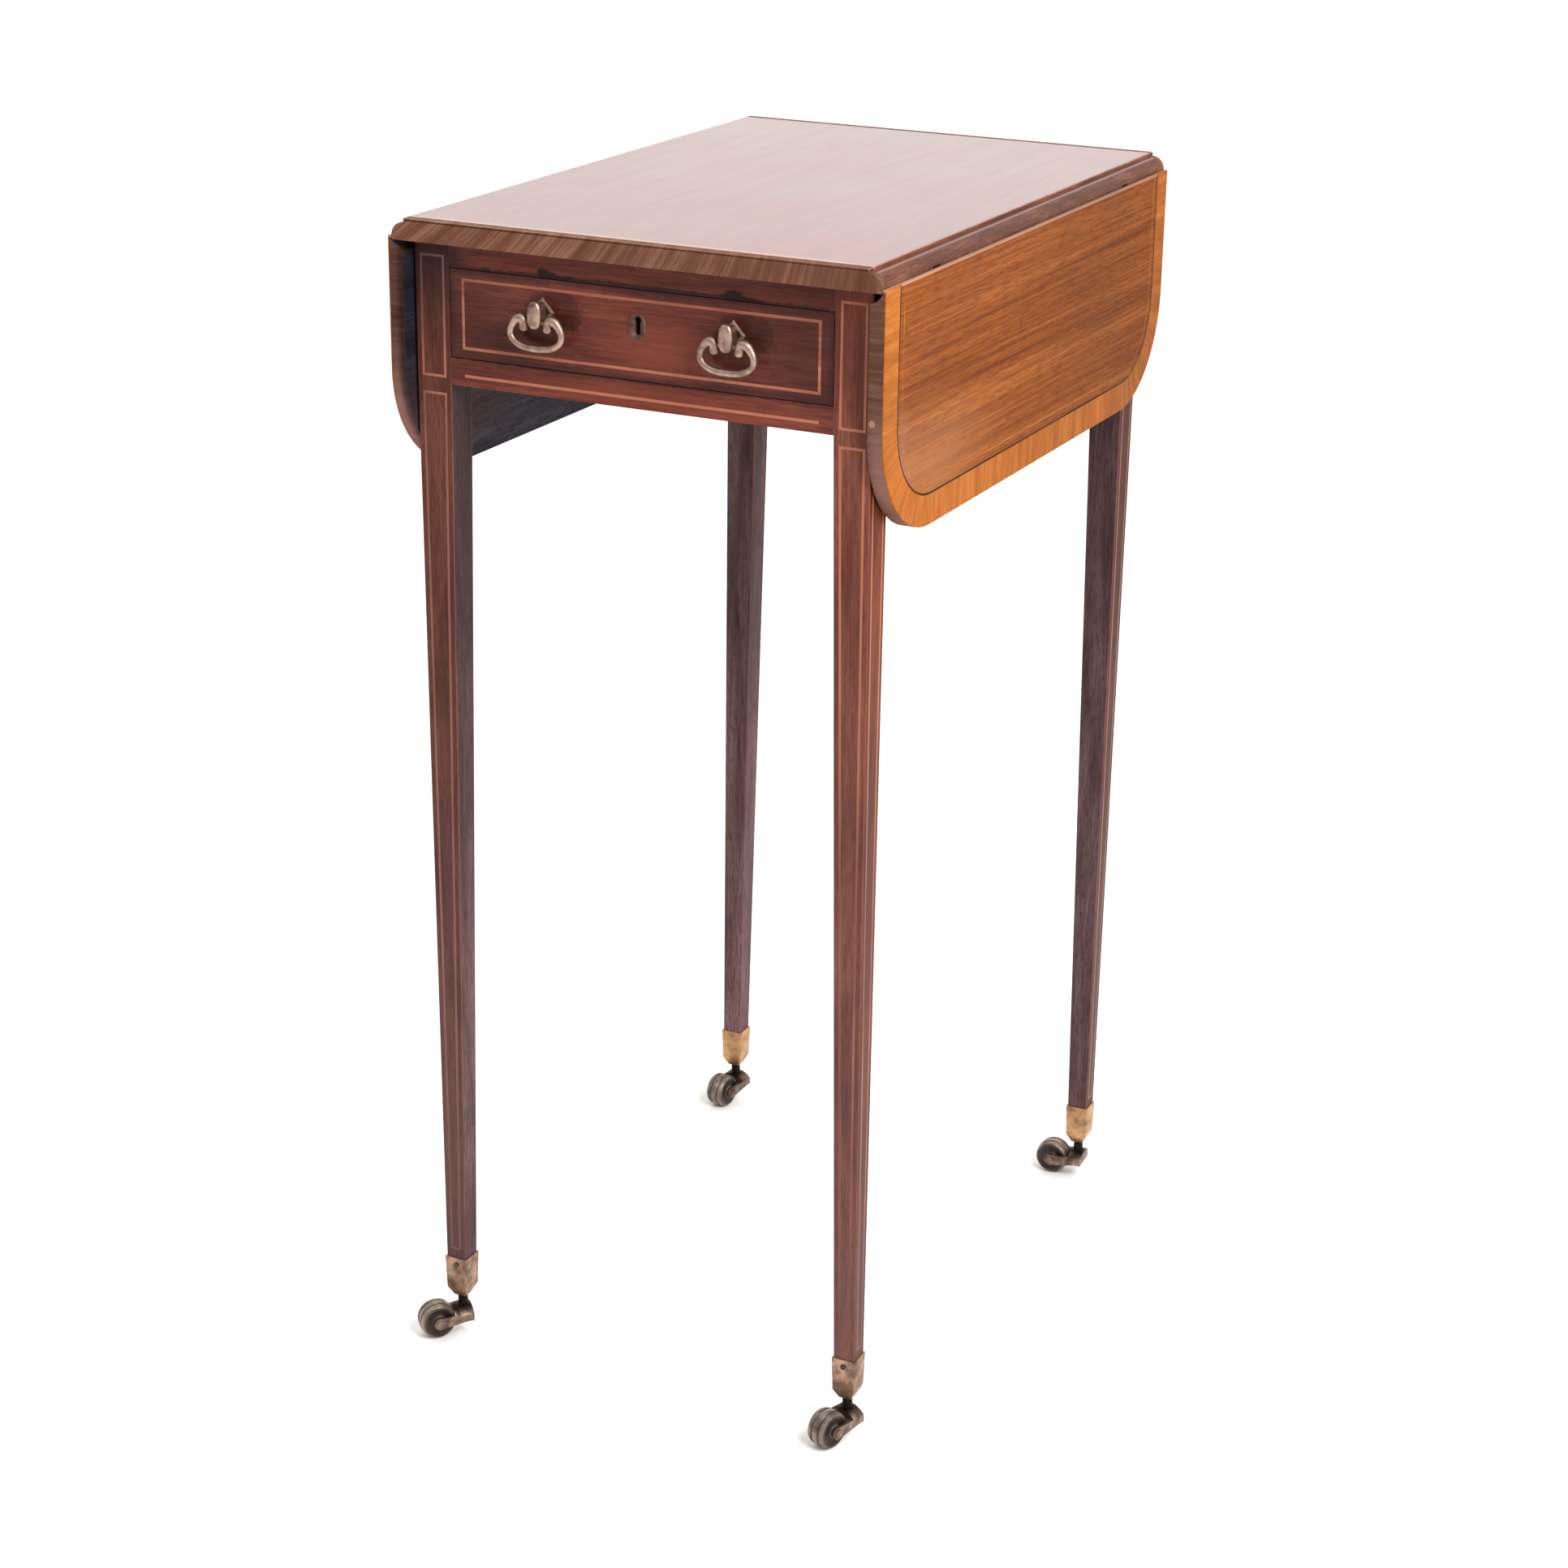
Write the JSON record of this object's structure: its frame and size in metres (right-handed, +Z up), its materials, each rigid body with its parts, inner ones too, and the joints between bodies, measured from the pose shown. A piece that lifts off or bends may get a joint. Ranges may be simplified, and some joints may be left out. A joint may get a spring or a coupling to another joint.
{
  "type": "drop-leaf lamp table",
  "caption": "small drop-leaf table with rule-jointed hanging leaves, a frieze drawer with drop handles, square tapered legs with line inlay and brass castors",
  "frame": {"origin": "on the floor under the middle of the top", "axes": "+X to the right seen from the drawer side, +Y to the back, +Z up; both leaves hang down and the drawer is shut"},
  "size_m": [0.3184, 0.4452, 0.73],
  "materials": {
    "mahogany_frame": "french polished dark red mahogany",
    "mahogany_top": "high-gloss french polish",
    "mahogany_edge": "polished cross-grain lipping",
    "mahogany_leaf": "polished figured veneer",
    "satinwood": "polished cross-grain band",
    "ebony_string": "polished dyed string",
    "boxwood_string": "polished string",
    "oak": "unpolished",
    "beech": "stained, unpolished",
    "cast_brass": "dull, aged",
    "castor_brass": "worn, lacquer gone",
    "castor_wheel": "dark patina",
    "iron": "dark, oxidised"
  },
  "bodies": {
    "frame": {"back_apron": "mahogany_frame", "castor_cup_back_left": "castor_brass", "castor_cup_back_right": "castor_brass", "castor_cup_front_left": "castor_brass", "castor_cup_front_right": "castor_brass", "castor_cup_pins": "iron", "drawer_kickers": "oak", "drawer_runners": "oak", "drawer_stops": "oak", "fly_bracket_pins": "iron", "fly_rail_left": "beech", "fly_rail_right": "beech", "frame_stringing": "boxwood_string", "front_bottom_rail": "mahogany_frame", "front_top_rail": "mahogany_frame", "hinge_top_flaps": "iron", "hinge_top_screws": "iron", "leg_back_left": "mahogany_frame", "leg_back_right": "mahogany_frame", "leg_front_left": "mahogany_frame", "leg_front_right": "mahogany_frame", "side_rail_left": "beech", "side_rail_right": "beech", "top_board": "mahogany_top", "top_end_lippings": "mahogany_edge", "top_screws": "iron", "top_stringing": "boxwood_string"},
    "leaf_left": {"leaf_left": "mahogany_leaf", "leaf_left_crossbanding": "satinwood", "leaf_left_stringing": "ebony_string", "leaf_left_hinge_flaps": "iron", "leaf_left_hinge_screws": "iron"},
    "leaf_right": {"leaf_right": "mahogany_leaf", "leaf_right_crossbanding": "satinwood", "leaf_right_stringing": "ebony_string", "leaf_right_hinge_flaps": "iron", "leaf_right_hinge_screws": "iron"},
    "drawer": {"drawer_front": "mahogany_frame", "drawer_stringing": "boxwood_string", "drawer_side_left": "oak", "drawer_side_right": "oak", "drawer_back": "oak", "drawer_bottom": "oak", "drawer_lock": "cast_brass", "escutcheon": "cast_brass", "handle_bosses": "cast_brass", "handle_nuts": "cast_brass"},
    "lock_bolt": {"lock_bolt": "cast_brass"},
    "handle_bail_left": {"handle_bail_left": "cast_brass"},
    "handle_bail_right": {"handle_bail_right": "cast_brass"},
    "fly_bracket_left": {"fly_bracket_left": "beech"},
    "fly_bracket_right": {"fly_bracket_right": "beech"},
    "castor_fork_front_left": {"castor_fork_front_left": "castor_brass"},
    "castor_wheel_front_left": {"castor_wheel_front_left": "castor_wheel"},
    "castor_fork_front_right": {"castor_fork_front_right": "castor_brass"},
    "castor_wheel_front_right": {"castor_wheel_front_right": "castor_wheel"},
    "castor_fork_back_left": {"castor_fork_back_left": "castor_brass"},
    "castor_wheel_back_left": {"castor_wheel_back_left": "castor_wheel"},
    "castor_fork_back_right": {"castor_fork_back_right": "castor_brass"},
    "castor_wheel_back_right": {"castor_wheel_back_right": "castor_wheel"}
  },
  "joints": [
    {"name": "leaf_left_hinge", "type": "hinge", "parent": "frame", "child": "leaf_left", "pos_m": [-0.146, 0, 0.7194], "axis": [0, 1, 0], "range_deg": [0, 90]},
    {"name": "leaf_right_hinge", "type": "hinge", "parent": "frame", "child": "leaf_right", "pos_m": [0.146, 0, 0.7194], "axis": [0, -1, 0], "range_deg": [0, 90]},
    {"name": "drawer_slide", "type": "slide", "parent": "frame", "child": "drawer", "axis": [0, -1, 0], "range_m": [0, 0.27]},
    {"name": "lock_bolt_slide", "type": "slide", "parent": "drawer", "child": "lock_bolt", "axis": [0, 0, 1], "range_m": [0, 0.006]},
    {"name": "handle_bail_left_hinge", "type": "hinge", "parent": "drawer", "child": "handle_bail_left", "pos_m": [-0.0605, -0.218, 0.6785], "axis": [-1, 0, 0], "range_deg": [0, 90]},
    {"name": "handle_bail_right_hinge", "type": "hinge", "parent": "drawer", "child": "handle_bail_right", "pos_m": [0.0605, -0.218, 0.6785], "axis": [-1, 0, 0], "range_deg": [0, 90]},
    {"name": "fly_bracket_left_hinge", "type": "hinge", "parent": "frame", "child": "fly_bracket_left", "pos_m": [-0.13525, -0.048, 0.681], "axis": [0, 0, 1], "range_deg": [0, 3.5]},
    {"name": "fly_bracket_right_hinge", "type": "hinge", "parent": "frame", "child": "fly_bracket_right", "pos_m": [0.13525, -0.048, 0.681], "axis": [0, 0, -1], "range_deg": [0, 3.5]},
    {"name": "castor_swivel_front_left", "type": "hinge", "parent": "frame", "child": "castor_fork_front_left", "pos_m": [-0.138, -0.196, 0.03], "axis": [0, 0, 1], "continuous": true},
    {"name": "castor_roll_front_left", "type": "hinge", "parent": "castor_fork_front_left", "child": "castor_wheel_front_left", "pos_m": [-0.15004, -0.20938, 0.012], "axis": [0.7431, -0.6691, 0], "continuous": true},
    {"name": "castor_swivel_front_right", "type": "hinge", "parent": "frame", "child": "castor_fork_front_right", "pos_m": [0.138, -0.196, 0.03], "axis": [0, 0, 1], "continuous": true},
    {"name": "castor_roll_front_right", "type": "hinge", "parent": "castor_fork_front_right", "child": "castor_wheel_front_right", "pos_m": [0.13244, -0.21312, 0.012], "axis": [0.9511, -0.309, 0], "continuous": true},
    {"name": "castor_swivel_back_left", "type": "hinge", "parent": "frame", "child": "castor_fork_back_left", "pos_m": [-0.138, 0.196, 0.03], "axis": [0, 0, 1], "continuous": true},
    {"name": "castor_roll_back_left", "type": "hinge", "parent": "castor_fork_back_left", "child": "castor_wheel_back_left", "pos_m": [-0.1405, 0.17818, 0.012], "axis": [0.9903, -0.1392, 0], "continuous": true},
    {"name": "castor_swivel_back_right", "type": "hinge", "parent": "frame", "child": "castor_fork_back_right", "pos_m": [0.138, 0.196, 0.03], "axis": [0, 0, 1], "continuous": true},
    {"name": "castor_roll_back_right", "type": "hinge", "parent": "castor_fork_back_right", "child": "castor_wheel_back_right", "pos_m": [0.12004, 0.19474, 0.012], "axis": [0.0698, -0.9976, 0], "continuous": true}
  ]
}
